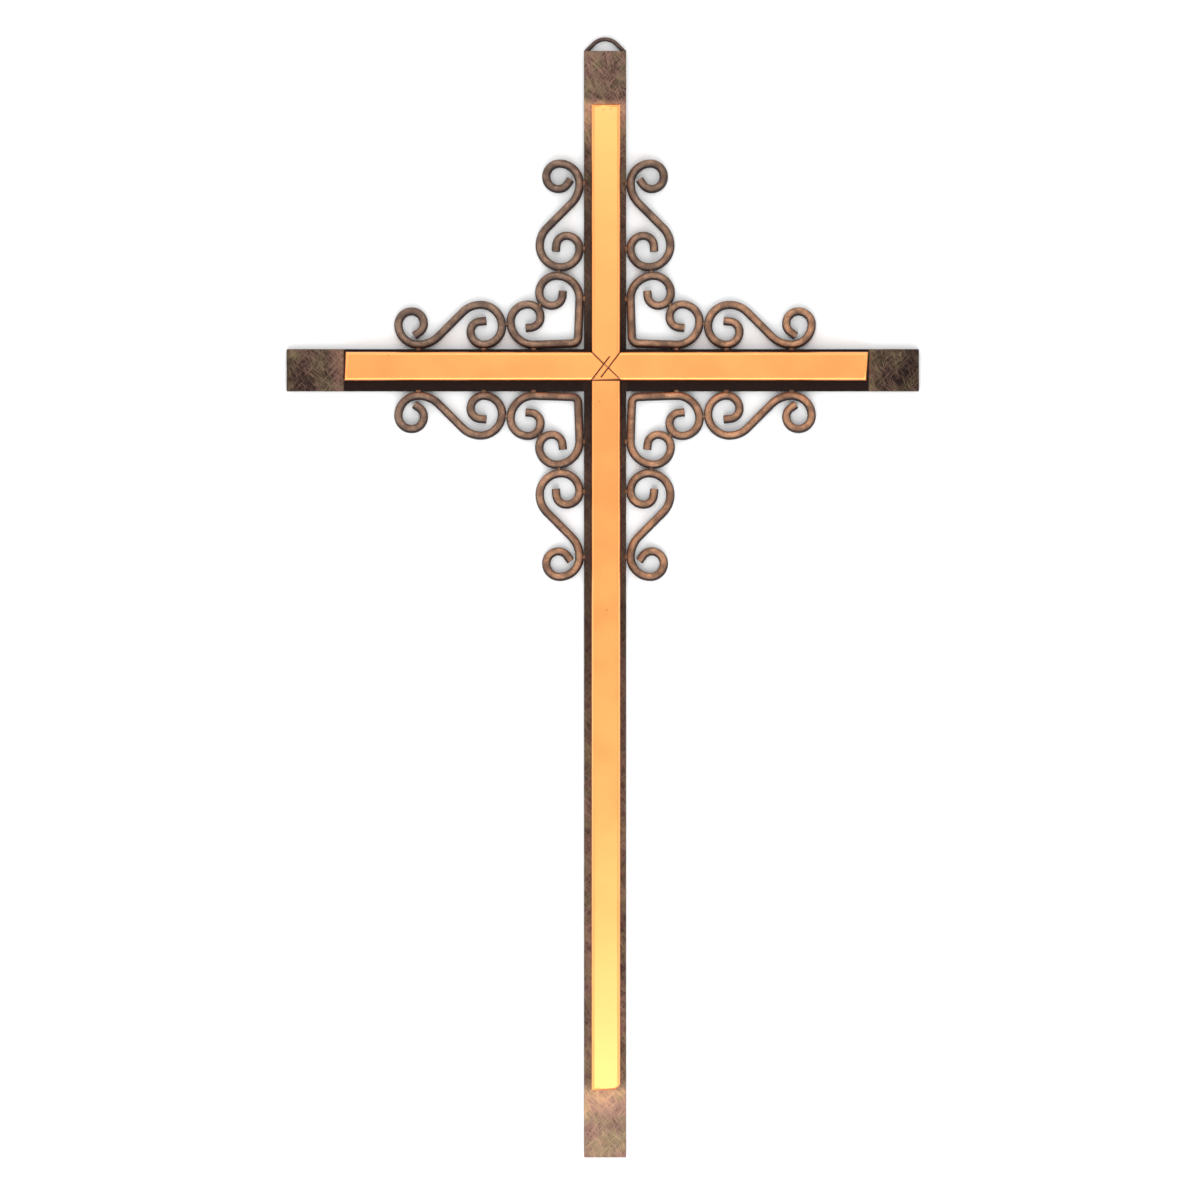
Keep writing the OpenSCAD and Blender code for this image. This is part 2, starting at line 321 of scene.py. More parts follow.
# %% The bars' finish
LACQUER = (0.010, 0.004, 0.003, 1)
REDDISH_BROWN = (0.25, 0.140, 0.105, 1)
OLIVE_BROWN = (0.205, 0.145, 0.085, 1)
RUBBED_COPPER = (0.40, 0.225, 0.125, 1)
THINNED_FROM, THINNED_TO = 0.54, 0.98
BARE_FROM, BARE_TO = 0.86, 1.16
BRUSHED_FROM, BRUSHED_TO = 0.2, 0.9
TINT_SIZE, TINT_FROM, TINT_TO = 7 * MM, 0.35, 0.65
LACQUER_METALLIC, BARE_METALLIC = 0.2, 0.9
LACQUER_ROUGHNESS, BRUSHED_ROUGHNESS = 0.50, 0.38
ROUGHER_FROM, ROUGHER_TO = 0.4, 0.8
LACQUER_SPECULAR = 0.12
GRAIN_STRENGTH, BUMP_DEPTH = 0.3, 0.1 * MM


def bar_finish():
    finish, tree, shader, place = start_finish("brushed dark lacquer")
    strokes = brush_strokes(tree, place)
    # The rubbing carries painted shade on the margins and a painted copper reflection.
    rub_and_painted_reflection, rub_share_with_painted_shade = rubbing(tree, place, strokes)
    rub_share_with_painted_shade = calculate(tree, "MULTIPLY", rub_share_with_painted_shade,
                        ease(tree, facing(tree, place, FRONT), BRUSHED_FROM, BRUSHED_TO))
    thinned = calculate(tree, "MULTIPLY", ease(tree, rub_and_painted_reflection, THINNED_FROM, THINNED_TO), rub_share_with_painted_shade)
    bare = calculate(tree, "MULTIPLY", ease(tree, rub_and_painted_reflection, BARE_FROM, BARE_TO), rub_share_with_painted_shade)
    tint = ease(tree, patches(tree, place, TINT_SIZE), TINT_FROM, TINT_TO)
    brown = blend_colours(tree, tint, REDDISH_BROWN, OLIVE_BROWN)
    colour = blend_colours(tree, thinned, LACQUER, brown)
    plug(tree, blend_colours(tree, bare, colour, RUBBED_COPPER), shader.inputs["Base Color"])
    plug(tree, ease(tree, bare, 0.0, 1.0, LACQUER_METALLIC, BARE_METALLIC),
         shader.inputs["Metallic"])
    plug(tree, ease(tree, strokes, ROUGHER_FROM, ROUGHER_TO, LACQUER_ROUGHNESS, BRUSHED_ROUGHNESS),
         shader.inputs["Roughness"])
    shader.inputs["Specular IOR Level"].default_value = LACQUER_SPECULAR
    grain = add_node(tree, "Bump", Height=strokes, Strength=GRAIN_STRENGTH, Distance=BUMP_DEPTH)
    plug(tree, grain.outputs["Normal"], shader.inputs["Normal"])
    return finish


bar_lacquer = bar_finish()

# %% [markdown]
# ## Rubbed lacquer on the rods
# The same wipe of the brush reaches the front of a round rod, so copper shows as
# a soft line there and the rest stays dark. The line is also a painted highlight:
# it leans onto the upper side and leaves the underside dark, as light from above
# would. The share of copper therefore follows how squarely the surface faces the
# front and slightly upwards. The rods at the lower right are the warmest and
# those at the upper left the greyest.

# %% The rods' finish
ROD_DARK = (0.024, 0.016, 0.015, 1)
GREY_BROWN = (0.29, 0.185, 0.130, 1)
WARM_COPPER = (0.53, 0.275, 0.155, 1)
WIRE_BROWN = (0.15, 0.095, 0.075, 1)
WELD_DARK, WELD_BROWN = (0.04, 0.024, 0.018, 1), (0.24, 0.135, 0.080, 1)
WARM_HALF_WAY = 110 * MM
WIPE_SIZE, WIPE_FROM, WIPE_TO, LEAST_WIPED = 5 * MM, 0.3, 0.7, 0.40
SPECK_SIZE, SPECK_DETAIL, SPECK_FROM, SPECK_TO, LEAST_SPECKED = 0.9 * MM, 3.0, 0.35, 0.7, 0.70
ROD_ROUGHNESS = 0.42


def rod_finish(name, dark, cool, warm, front_from, front_to):
    finish, tree, shader, place = start_finish(name)
    axes = add_node(tree, "SeparateXYZ", Vector=place.outputs["Object"])
    down_right = calculate(tree, "SUBTRACT", axes.outputs["X"],
                           calculate(tree, "SUBTRACT", axes.outputs["Z"], cross_z))
    warmth = ease(tree, down_right, -WARM_HALF_WAY, WARM_HALF_WAY)
    # Painted highlight: copper is centred on the front's upper side, and the underside is left
    # dark.
    front = ease(tree, facing(tree, place, FRONT_FROM_ABOVE), front_from, front_to)
    uneven = ease(tree, patches(tree, place, WIPE_SIZE), WIPE_FROM, WIPE_TO, LEAST_WIPED, 1.0)
    specks = ease(tree, patches(tree, place, SPECK_SIZE, SPECK_DETAIL),
                  SPECK_FROM, SPECK_TO, LEAST_SPECKED, 1.0)
    wipe_and_painted_highlight = calculate(tree, "MULTIPLY", calculate(tree, "MULTIPLY", front, uneven), specks)
    copper = blend_colours(tree, warmth, cool, warm)
    plug(tree, blend_colours(tree, wipe_and_painted_highlight, dark, copper), shader.inputs["Base Color"])
    plug(tree, ease(tree, wipe_and_painted_highlight, 0.0, 1.0, 0.0, BARE_METALLIC), shader.inputs["Metallic"])
    shader.inputs["Specular IOR Level"].default_value = LACQUER_SPECULAR
    shader.inputs["Roughness"].default_value = ROD_ROUGHNESS
    return finish


# Each of these finishes paints a highlight on the front and upper side of its rod, wire or bead.
rod_lacquer = rod_finish("wiped dark lacquer with painted highlight", ROD_DARK, GREY_BROWN, WARM_COPPER,
                         front_from=0.42, front_to=0.98)
wire_lacquer = rod_finish("dark lacquer on wire", ROD_DARK, WIRE_BROWN, WIRE_BROWN,
                          front_from=0.5, front_to=1.0)
weld_copper = rod_finish("coppery weld", WELD_DARK, WELD_BROWN, WELD_BROWN,
                         front_from=0.2, front_to=0.95)

# %% [markdown]
# ## The cuts at the crossing
# The upper strip has a V cut into each side, and the pointed ends of the side
# strips fit into them. The cuts were sawn by eye: the two points miss each other
# by a little under 2 mm, and one side of each V has run on past its point.

# %% Where the cuts run
HALF_WAIST = 0.9 * MM
POINT_MISS = 0.9 * MM
LEFT_OVERCUT = 4.4 * MM
RIGHT_OVERCUT = 5.4 * MM
BUTT_GAP_RISE = 0.5 * MM

left_point = Vector((strip_x - HALF_WAIST, strip_z + POINT_MISS))
right_point = Vector((strip_x + HALF_WAIST, strip_z - POINT_MISS))
upper_left, upper_right = Vector((left_x, upper_z)), Vector((right_x, upper_z))
lower_left, lower_right = Vector((left_x, lower_z)), Vector((right_x, lower_z + BUTT_GAP_RISE))
left_cut_end = left_point + (left_point - lower_left).normalized() * LEFT_OVERCUT
right_cut_end = right_point + (right_point - upper_right).normalized() * RIGHT_OVERCUT
CUTS = ((upper_left, lower_right), (lower_left, left_cut_end), (upper_right, right_cut_end),
        (lower_left, lower_right))
print("cuts meet, mm:", round((left_point - right_point).length / MM, 2), "apart")

# %% [markdown]
# ## Satin copper
# The strips are bright copper sheet under clear lacquer: a metal with a broad,
# soft shine, and over it a thin coat that turns pale where it is seen at a
# slant, along the folds. It is tarnished brown along the cuts. Soft clouds in
# its colour and roughness, a slightly wavy surface and a few small pits keep it
# from looking like plastic.

# %% The strips' finish
COPPER = (0.89, 0.290, 0.062, 1)
PALER_COPPER = (0.95, 0.315, 0.072, 1)
TARNISH = (0.22, 0.075, 0.025, 1)
TARNISH_REACH = 0.6 * MM
TARNISH_CORE = TARNISH_REACH / 3
PITS = ((-2.6, -171.1), (-102.6, -149.3), (2.8, -32.6), (-0.8, -32.9), (0.8, -269.7))
PIT_RADIUS = 0.65 * MM
MARK_STRENGTH = 0.85
CLOUD_SIZE, CLOUD_DETAIL, CLOUD_FROM, CLOUD_TO = 18 * MM, 4.0, 0.3, 0.7
SMOOTH_COPPER, ROUGH_COPPER = 0.34, 0.40
COAT_ROUGHNESS = 0.3
WAVE_SIZE, WAVE_STRENGTH = 6 * MM, 0.2


def pit_share(tree, place):
    """1 in the middle of each pit, fading to 0 at its rim."""
    share = 0.0
    for x, z in PITS:
        away = add_node(tree, "VectorMath", {"operation": "DISTANCE"},
                        Vector=place.outputs["Object"])
        away.inputs[1].default_value = (x * MM, front_y - strip_height, z * MM)
        fading = ease(tree, away.outputs["Value"], PIT_RADIUS, 0.0)
        share = calculate(tree, "MAXIMUM", share, fading)
    return share


def cut_share(tree, place):
    """1 on the line of each cut, fading to 0 a short way off."""
    share = 0.0
    for start, end in CUTS:
        along = (end - start).normalized()
        normal, direction = (-along.y, 0, along.x), (along.x, 0, along.y)
        reach = []
        for axis in (normal, direction):
            dot = add_node(tree, "VectorMath", {"operation": "DOT_PRODUCT"},
                           Vector=place.outputs["Object"])
            dot.inputs[1].default_value = axis
            offset = Vector(axis).dot(Vector(((start.x + end.x) / 2, 0, (start.y + end.y) / 2)))
            away = calculate(tree, "SUBTRACT", dot.outputs["Value"], offset)
            reach.append(calculate(tree, "ABSOLUTE", away))
        half = (end - start).length / 2
        near = ease(tree, reach[0], TARNISH_REACH, TARNISH_CORE)
        within = ease(tree, reach[1], half + TARNISH_REACH, half)
        share = calculate(tree, "MAXIMUM", share, calculate(tree, "MULTIPLY", near, within))
    return share


def copper_finish():
    finish, tree, shader, place = start_finish("satin copper sheet")
    clouds = ease(tree, patches(tree, place, CLOUD_SIZE, CLOUD_DETAIL), CLOUD_FROM, CLOUD_TO)
    marks = calculate(tree, "MAXIMUM", pit_share(tree, place), cut_share(tree, place))
    marks = calculate(tree, "MULTIPLY", marks, MARK_STRENGTH)
    copper = blend_colours(tree, clouds, COPPER, PALER_COPPER)
    plug(tree, blend_colours(tree, marks, copper, TARNISH), shader.inputs["Base Color"])
    plug(tree, ease(tree, clouds, 0.0, 1.0, SMOOTH_COPPER, ROUGH_COPPER),
         shader.inputs["Roughness"])
    shader.inputs["Metallic"].default_value = 1.0
    shader.inputs["Coat Weight"].default_value = 1.0
    shader.inputs["Coat Roughness"].default_value = COAT_ROUGHNESS
    waves = add_node(tree, "Bump", Height=patches(tree, place, WAVE_SIZE),
                     Strength=WAVE_STRENGTH, Distance=BUMP_DEPTH)
    plug(tree, waves.outputs["Normal"], shader.inputs["Normal"])
    return finish


satin_copper = copper_finish()

# %% [markdown]
# ## The flat bars
# Each bar is one length of flat, halved where it crosses the other. Its side
# view, notch and all, is a face with eight corners; extruding it across the bar
# makes the solid, and a small bevel eases the rolled edges. The notch's own
# edges stay sharp, because the two bars close on each other.

# %% Make the two bars
EASED_EDGE, EASED_STEPS = 0.35 * MM, 3
NOTCH_SLACK = 0.01 * MM


def halved_bar(side_view, sweep, notch_low, notch_high):
    """Extrude a bar's side view across its width and ease its outer edges."""
    shape = bmesh.new()
    side = shape.faces.new([shape.verts.new(point) for point in side_view])
    swept = bmesh.ops.extrude_face_region(shape, geom=[side])["geom"]
    bmesh.ops.translate(shape, verts=only(bmesh.types.BMVert, swept), vec=sweep)

    def in_notch(vert):
        return all(low - NOTCH_SLACK < c < high + NOTCH_SLACK
                   for low, c, high in zip(notch_low, vert.co, notch_high))

    outer = [edge for edge in shape.edges if not all(in_notch(v) for v in edge.verts)]
    bmesh.ops.bevel(shape, geom=outer, offset=EASED_EDGE, offset_type="OFFSET",
                    segments=EASED_STEPS, profile=0.5, affect="EDGES", clamp_overlap=True,
                    material=-1)
    return shape


notch_low = Vector((-half_bar, front_y, cross_z - half_bar))
notch_high = Vector((half_bar, wall_y, cross_z + half_bar))
upright_view = [(-half_bar, y, z) for y, z in (
    (wall_y, upright_low.z), (wall_y, upright_high.z), (front_y, upright_high.z),
    (front_y, notch_high.z), (lap_y, notch_high.z), (lap_y, notch_low.z),
    (front_y, notch_low.z), (front_y, upright_low.z))]
upright = halved_bar(upright_view, (2 * half_bar, 0, 0), notch_low, notch_high)
finish_piece("iron_upright", upright, bar_lacquer, ["upright_bar"])

crossbar_view = [(x, y, crossbar_low.z) for x, y in (
    (crossbar_low.x, front_y), (crossbar_high.x, front_y), (crossbar_high.x, wall_y),
    (half_bar, wall_y), (half_bar, lap_y), (-half_bar, lap_y),
    (-half_bar, wall_y), (crossbar_low.x, wall_y))]
crossbar = halved_bar(crossbar_view, (0, 0, 2 * half_bar), notch_low, notch_high)
finish_piece("iron_crossbar", crossbar, bar_lacquer, ["crossbar"])

# %% [markdown]
# ## The copper strips
# A strip is sheet folded over at its long sides and its outer end, and open
# behind. Its front view is drawn as an outline and extruded forwards; the back
# and the plain-cut ends are deleted, the folds are bevelled round, and Solidify
# gives the sheet its thickness.

# %% A helper that folds a strip
FOLD_RADIUS = 1.5 * MM
FOLD_STEPS = 6
SHEET = 0.8 * MM


def folded_strip(outline, folded):
    """Fold a strip from its front view. "folded" lists the outline's folded sides."""
    shape = bmesh.new()
    corners = [shape.verts.new((x, front_y, z)) for x, z in outline]
    swept = bmesh.ops.extrude_face_region(shape, geom=[shape.faces.new(corners)])["geom"]
    bmesh.ops.translate(shape, vec=(0, -strip_height, 0), verts=only(bmesh.types.BMVert, swept))
    plain_cuts = [face for face in shape.faces if all(v in corners for v in face.verts)]
    fold_edges = []
    for number, corner in enumerate(corners):
        foot = {corner, corners[(number + 1) % len(corners)]}
        side = next(face for face in shape.faces
                    if foot == {v for v in face.verts if v in corners})
        if number in folded:
            fold_edges += [e for e in side.edges if not any(v in corners for v in e.verts)]
        else:
            plain_cuts.append(side)
    bmesh.ops.delete(shape, geom=plain_cuts, context="FACES")
    bmesh.ops.bevel(shape, geom=fold_edges, offset=FOLD_RADIUS, offset_type="OFFSET",
                    segments=FOLD_STEPS, profile=0.5, affect="EDGES", clamp_overlap=True,
                    material=-1)
    bmesh.ops.recalc_face_normals(shape, faces=shape.faces)
    bmesh.ops.solidify(shape, geom=shape.faces[:], thickness=SHEET)
    return shape


# %% [markdown]
# The side strips end in points that fit the V cuts, with a fine seam between.
# All the ends are slightly out of square, and one corner is snipped off at the
# foot.

# %% Fold the four strips
SEAM = 0.55 * MM
KERF = 0.45 * MM
LEFT_END_SKEW = 0.55 * MM
RIGHT_END_SKEW = 0.9 * MM
FOOT_SKEW = 0.7 * MM
FOOT_SNIP = 2.2 * MM


def overcut(tip, point, other_corner):
    """The two sides of a saw cut from point to its tip, and on to the cut's other side."""
    along = (tip - point).normalized()
    to_other = (other_corner - point).normalized()
    across = (to_other - along * along.dot(to_other)).normalized()
    return [tip, tip + across * KERF, point + to_other * KERF]


upper_outline = [
    Vector((left_x, strip_top)), upper_left,
    *reversed(overcut(left_cut_end, left_point, upper_left)), lower_left, lower_right,
    *reversed(overcut(right_cut_end, right_point, lower_right)),
    upper_right, Vector((right_x, strip_top))]
side_right, top_end = len(upper_outline) - 2, len(upper_outline) - 1
upper_strip = folded_strip(upper_outline, [0, side_right, top_end])
finish_piece("copper_strip_upper", upper_strip, satin_copper, ["upper_strip"])

lower_strip = folded_strip([
    (left_x, lower_strip_top), (left_x, strip_foot),
    (right_x - FOOT_SNIP, strip_foot + FOOT_SKEW), (right_x, strip_foot + FOOT_SKEW + FOOT_SNIP),
    (right_x, lower_strip_top)], [0, 1, 2, 3])
finish_piece("copper_strip_lower", lower_strip, satin_copper,
             ["lower_strip", "lower_strip_foot"])

left_strip = folded_strip([
    (strip_left + LEFT_END_SKEW, upper_z), (strip_left, lower_z), (left_x - SEAM, lower_z),
    (left_point.x - SEAM, left_point.y), (left_x - SEAM, upper_z)], [0, 1, 4])
finish_piece("copper_strip_left", left_strip, satin_copper, ["left_strip"])

right_strip = folded_strip([
    (right_x + SEAM, upper_z), (right_point.x + SEAM, right_point.y), (right_x + SEAM, lower_z),
    (strip_right - RIGHT_END_SKEW, lower_z), (strip_right, upper_z)], [2, 3, 4])
finish_piece("copper_strip_right", right_strip, satin_copper, ["right_strip"])

# %% [markdown]
# ## Bending the rods
# A scroll is one straight rod bent cold round a set of formers, so it is made
# the same way: a ring of edges starts where the scroll meets the bar, Spin
# carries it round each bend and Extrude along each straight, out to one tip and
# then from the same ring to the other. The formers' radii and turns are the
# driving sizes. Each end is closed and chamfered, as a cropped rod is filed.

# %% Helpers that bend a rod
ROD_RADIUS = 2.0 * MM
ROD_SIDES = 24
BEND_STEP = 5.0
TIP_CHAMFER, CHAMFER_STEPS = 0.3 * MM, 2
TACK_GAP = 0.1 * MM
AWAY, BACK = 90, -90
rod_y = wall_y - ROD_RADIUS
rod_line = ROD_RADIUS + TACK_GAP


def direction(heading):
    """Unit step for a heading in degrees, turning from +X towards +Z."""
    return Vector((math.cos(math.radians(heading)), 0, math.sin(math.radians(heading))))


def lead_rod(shape, ring, at, heading, bends):
    """Carry a ring along (radius, turn) bends and (0, length) straights, and close the tip."""
    for radius, amount in bends:
        if radius == 0:
            grown = bmesh.ops.extrude_edge_only(shape, edges=ring)["geom"]
            fresh = only(bmesh.types.BMVert, grown)
            bmesh.ops.translate(shape, verts=fresh, vec=direction(heading) * amount)
            ring = [e for e in only(bmesh.types.BMEdge, grown) if all(v in fresh for v in e.verts)]
            at = at + direction(heading) * amount
        else:
            side = math.copysign(90, amount)
            centre = at + direction(heading + side) * radius
            spun = bmesh.ops.spin(shape, geom=ring, cent=centre, axis=(0, -1, 0),
                                  angle=math.radians(amount), use_duplicate=False,
                                  steps=math.ceil(abs(amount) / BEND_STEP))
            ring = only(bmesh.types.BMEdge, spun["geom_last"])
            heading += amount
            at = centre - direction(heading + side) * radius
    bmesh.ops.contextual_create(shape, geom=ring)
    bmesh.ops.bevel(shape, geom=ring, offset=TIP_CHAMFER, offset_type="OFFSET",
                    segments=CHAMFER_STEPS, profile=0.5, affect="EDGES", clamp_overlap=True,
                    material=-1)


def bent_rod(start, outward, inward):
    """A rod that touches its bar at start; two lists of bends lead away from there."""
    shape = bmesh.new()
    bmesh.ops.create_circle(shape, segments=ROD_SIDES, radius=ROD_RADIUS,
                            matrix=Matrix.Translation(start))
    ring = shape.edges[:]
    lead_rod(shape, ring, start, AWAY, outward)
    lead_rod(shape, ring, start, BACK, inward)
    return shape


# %% [markdown]
# ## The two scrolls
# Both are drawn once, in the upper right corner of the crossing: X leads away
# from the upright's edge and Z away from the crossbar's. The corner scroll
# reaches just far enough for its two curls to lean on each other, and the
# S-scroll's slanting run is just long enough to bring its big curl back to the
# bar, so both lengths are worked out and not chosen.

# %% Sizes of the corner scroll
CORNER_FIRST, CORNER_SECOND = 10.9 * MM, 8.2 * MM
CORNER_THIRD, CORNER_LAST = 6.0 * MM, 5.0 * MM
CORNER_TIP_TURN, CORNER_TIP = 85, 2.6 * MM
CORNER_BEND = 3.0 * MM
LEG_LEAN = 2

root_two = math.sqrt(2)
lean_cos, lean_sin = math.cos(math.radians(LEG_LEAN)), math.sin(math.radians(LEG_LEAN))
curl_out = rod_line + CORNER_FIRST + CORNER_SECOND
curl_along = curl_out + ((2 - root_two) * CORNER_THIRD + 2 * ROD_RADIUS + TACK_GAP) / root_two
corner_touch = curl_along + CORNER_SECOND - CORNER_FIRST
corner_reach = curl_along + CORNER_SECOND + ROD_RADIUS
leg = (corner_touch - rod_line - CORNER_FIRST * (1 - lean_cos + lean_sin)
       - CORNER_BEND * (lean_cos - lean_sin)) / (lean_cos + lean_sin)
print("corner scroll reaches, mm:", round(corner_reach / MM, 2))

# %% Sizes of the S-scroll
SMALL_FIRST, SMALL_SECOND = 9.5 * MM, 6.3 * MM
SMALL_THIRD, SMALL_LAST = 5.8 * MM, 5.0 * MM
SMALL_TIP_TURN, SMALL_TIP = 55, 3.1 * MM
SWAN_RADIUS = 13.5 * MM
SWAN_ANGLE = 45
LARGE_FIRST, LARGE_SECOND, LARGE_THIRD = 12.0 * MM, 10.2 * MM, 8.7 * MM
INNER_FIRST, INNER_LAST = 6.2 * MM, 4.8 * MM
INNER_TIP_TURN, INNER_TIP = 85, 3.2 * MM

swan_cos, swan_sin = math.cos(math.radians(SWAN_ANGLE)), math.sin(math.radians(SWAN_ANGLE))
run = (LARGE_SECOND + LARGE_THIRD - (SWAN_RADIUS + LARGE_FIRST) * (1 - swan_cos)) / swan_sin
s_height = ROD_RADIUS + LARGE_SECOND + (LARGE_FIRST + SWAN_RADIUS) * swan_sin + run * swan_cos
s_touch = corner_reach + TACK_GAP + s_height
print("S-scroll's slanting run, mm:", round(run / MM, 2))


# %% The two shapes
def corner_curl(side):
    """A corner curl's bends after its first; side is -1 turning right, 1 turning left."""
    return [(CORNER_SECOND, side * 90), (CORNER_THIRD, side * 90),
            (CORNER_LAST, side * CORNER_TIP_TURN), (0, CORNER_TIP)]


def corner_scroll():
    legs = [(CORNER_FIRST, LEG_LEAN), (0, leg), (CORNER_BEND, 90 - 2 * LEG_LEAN),
            (0, leg), (CORNER_FIRST, 90 + LEG_LEAN)]
    return bent_rod(Vector((rod_line, rod_y, corner_touch)),
                    [(CORNER_FIRST, -90)] + corner_curl(-1), legs + corner_curl(1))


def s_scroll():
    small_curl = [(SMALL_FIRST, -90), (SMALL_SECOND, -90), (SMALL_THIRD, -90),
                  (SMALL_LAST, -SMALL_TIP_TURN), (0, SMALL_TIP)]
    large_curl = [(SWAN_RADIUS, SWAN_ANGLE), (0, run), (LARGE_FIRST, -SWAN_ANGLE),
                  (LARGE_SECOND, -90), (LARGE_THIRD, -90), (INNER_FIRST, -90),
                  (INNER_LAST, -INNER_TIP_TURN), (0, INNER_TIP)]
    return bent_rod(Vector((rod_line, rod_y, s_touch)), small_curl, large_curl)


# %% [markdown]
# ## Twelve scrolls in four corners
# A matrix carries each shape to its corner. A scale of -1 mirrors it, and
# swapping X with Z lays the S-scroll along the crossbar instead of the upright.
# Mirroring turns a mesh inside out, which finish_piece puts right again.

# %% Place the scrolls
CORNERS = {"upper_left": (-1, 1), "upper_right": (1, 1),
           "lower_left": (-1, -1), "lower_right": (1, -1)}
ALONG_UPRIGHT = Matrix.Identity(4)
ALONG_CROSSBAR = Matrix(((0, 0, 1, 0), (0, 1, 0, 0), (1, 0, 0, 0), (0, 0, 0, 1)))


def into_corner(side, up):
    """From the upper right corner's own X and Z to a corner of the crossing."""
    place = Matrix.Translation((side * half_bar, 0, cross_z + up * half_bar))
    return place @ Matrix.Diagonal((side, 1, up, 1))


for corner, (side, up) in CORNERS.items():
    for kind, bend, lay in (("corner_scroll", corner_scroll, ALONG_UPRIGHT),
                            ("upright_scroll", s_scroll, ALONG_UPRIGHT),
                            ("crossbar_scroll", s_scroll, ALONG_CROSSBAR)):
        shape = bend()
        bmesh.ops.transform(shape, matrix=into_corner(side, up) @ lay, verts=shape.verts)
        finish_piece(f"rod_{kind}_{corner}", shape, rod_lacquer, [f"{kind}_{corner}"])

# %% [markdown]
# ## The hanging loop
# A short piece of wire is bent into a low arch and welded across the end of the
# upright. It is made as the rods are: a ring at the crown is led down to each
# foot, and then both feet are cut level with the bar's end.

# %% Make the loop
WIRE_RADIUS = 1.0 * MM
LOOP_SLOPE = 45
FOOT_MARGIN = 0.2 * MM
slope_cos, slope_sin = math.cos(math.radians(LOOP_SLOPE)), math.sin(math.radians(LOOP_SLOPE))
foot_x = half_bar - FOOT_MARGIN - WIRE_RADIUS
drop = WIRE_RADIUS - upright_high.z
crown_radius = (foot_x * slope_sin - drop * slope_cos) / (1 - slope_cos)
side_length = (drop - crown_radius * (1 - slope_cos)) / slope_sin
crown = Vector((0, wall_y - WIRE_RADIUS, WIRE_RADIUS))

loop = bmesh.new()
bmesh.ops.create_circle(loop, segments=ROD_SIDES, radius=WIRE_RADIUS,
                        matrix=Matrix.Translation(crown) @ Matrix.Rotation(math.pi / 2, 4, "Y"))
crown_ring = loop.edges[:]
past_the_bar = 2 * WIRE_RADIUS
for heading, turn in ((0, -LOOP_SLOPE), (180, LOOP_SLOPE)):
    lead_rod(loop, crown_ring, crown, heading,
             [(crown_radius, turn), (0, side_length + past_the_bar)])
bmesh.ops.bisect_plane(loop, geom=loop.verts[:] + loop.edges[:] + loop.faces[:],
                       plane_co=(0, 0, upright_high.z), plane_no=(0, 0, -1), clear_outer=True)
bmesh.ops.holes_fill(loop, edges=[e for e in loop.edges if e.is_boundary], sides=0)
finish_piece("wire_loop", loop, wire_lacquer, ["hanging_loop"])
print("loop's crown radius, mm:", round(crown_radius / MM, 2))

# %% [markdown]
# ## Weld tacks
# A rod touches its bar or its neighbour along a thin line, and a small bead of
# weld holds it there. Each bead is a flattened ball sunk in the valley between
# the two, coppery on its front where the brush has rubbed it and on its upper
# side as a painted highlight. They are made as one piece.

# %% Make the tacks
TACK_SIZE = Vector((1.0, 1.0, 1.5)) * MM
TACK_SUNK = 0.5 * MM
tack_y = front_y + TACK_SUNK
large_touch = s_touch - (s_height - ROD_RADIUS) + LARGE_THIRD
scrolls_meet = rod_line + (LARGE_THIRD + CORNER_FIRST) / 2
curls_meet = (curl_out - CORNER_THIRD + curl_along) / 2
ON_BOTH_ARMS = ((0, corner_touch), (0, s_touch), (0, large_touch), (scrolls_meet, corner_reach))

tacks = bmesh.new()
for side, up in CORNERS.values():
    places = [(ALONG_UPRIGHT, curls_meet, curls_meet)]
    places += [(lay, x, z) for lay in (ALONG_UPRIGHT, ALONG_CROSSBAR) for x, z in ON_BOTH_ARMS]
    for lay, x, z in places:
        bead = Matrix.Translation((x, tack_y, z)) @ Matrix.Diagonal((*TACK_SIZE, 1))
        bmesh.ops.create_icosphere(tacks, subdivisions=2, radius=1,
                                   matrix=into_corner(side, up) @ lay @ bead)
finish_piece("weld_tacks", tacks, weld_copper)

# %% [markdown]
# ## Wall, floor and light
# The cross hangs against a white wall, so a wall stands just behind it and
# takes its soft shadow. The light on it is full enough to burn out to white
# everywhere but in the shadows.
# Seen from behind, the wall vanishes, so that the back can be looked at too.

# %% White paint for the stage
PAINT = (0.93, 0.93, 0.93, 1)


def stage_white(hidden_from_behind):
    """Matt white paint."""
    paint = bpy.data.materials.new("white stage")
    paint.use_nodes = True
    tree = paint.node_tree
    tree.nodes.clear()
    surface = add_node(tree, "BsdfDiffuse", Color=PAINT)
    if hidden_from_behind:
        behind = add_node(tree, "NewGeometry").outputs["Backfacing"]
        shadow_ray = add_node(tree, "LightPath").outputs["Is Shadow Ray"]
        mixed = add_node(tree, "MixShader", Fac=calculate(tree, "MAXIMUM", behind, shadow_ray))
        plug(tree, surface.outputs[0], mixed.inputs[1])
        plug(tree, add_node(tree, "BsdfTransparent").outputs[0], mixed.inputs[2])
        surface = mixed
    add_node(tree, "OutputMaterial", Surface=surface.outputs[0])
    return paint


def stage_plane(name, corners, paint):
    shape = bmesh.new()
    shape.faces.new([shape.verts.new(corner) for corner in corners])
    mesh = bpy.data.meshes.new(name)
    shape.to_mesh(mesh)
    shape.free()
    mesh.materials.append(paint)
    plane = bpy.data.objects.new(name, mesh)
    bpy.context.scene.collection.objects.link(plane)


